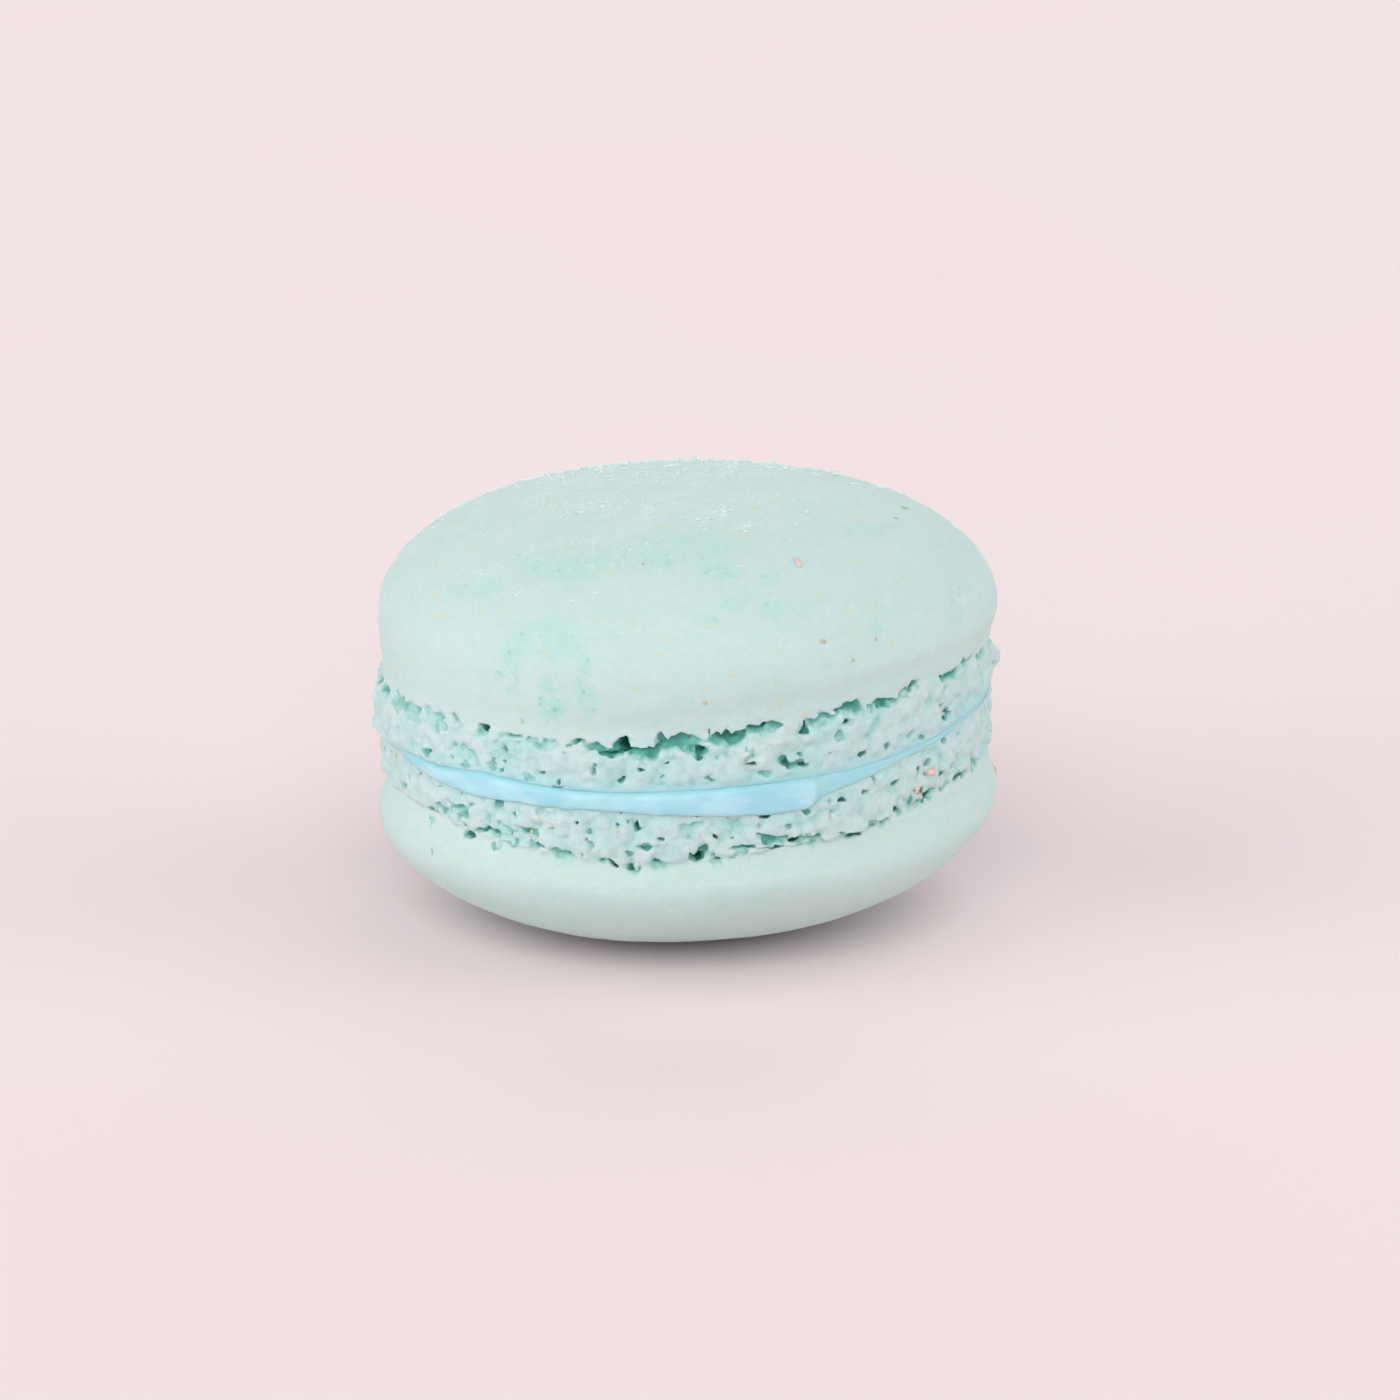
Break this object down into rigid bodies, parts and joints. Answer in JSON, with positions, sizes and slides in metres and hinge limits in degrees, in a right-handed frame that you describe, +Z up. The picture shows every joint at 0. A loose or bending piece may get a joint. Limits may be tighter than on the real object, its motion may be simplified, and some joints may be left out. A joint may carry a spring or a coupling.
{
  "type": "french macaron",
  "caption": "Round sandwich biscuit: two domed almond meringue shells with ruffled feet round a thin layer of cream filling.",
  "frame": {"origin": "on the resting plane, under the middle of the biscuit", "axes": "+Z up from the resting plane to the top of the upper crown, -Y the front, +X the right seen from the front"},
  "size_m": [0.0455, 0.0453, 0.0313],
  "materials": {
    "shell": "matte baked meringue skin, porous at the foot",
    "filling": "satin cream"
  },
  "bodies": {
    "root": {"upper_shell": "shell", "filling": "filling", "lower_shell": "shell"}
  },
  "joints": []
}
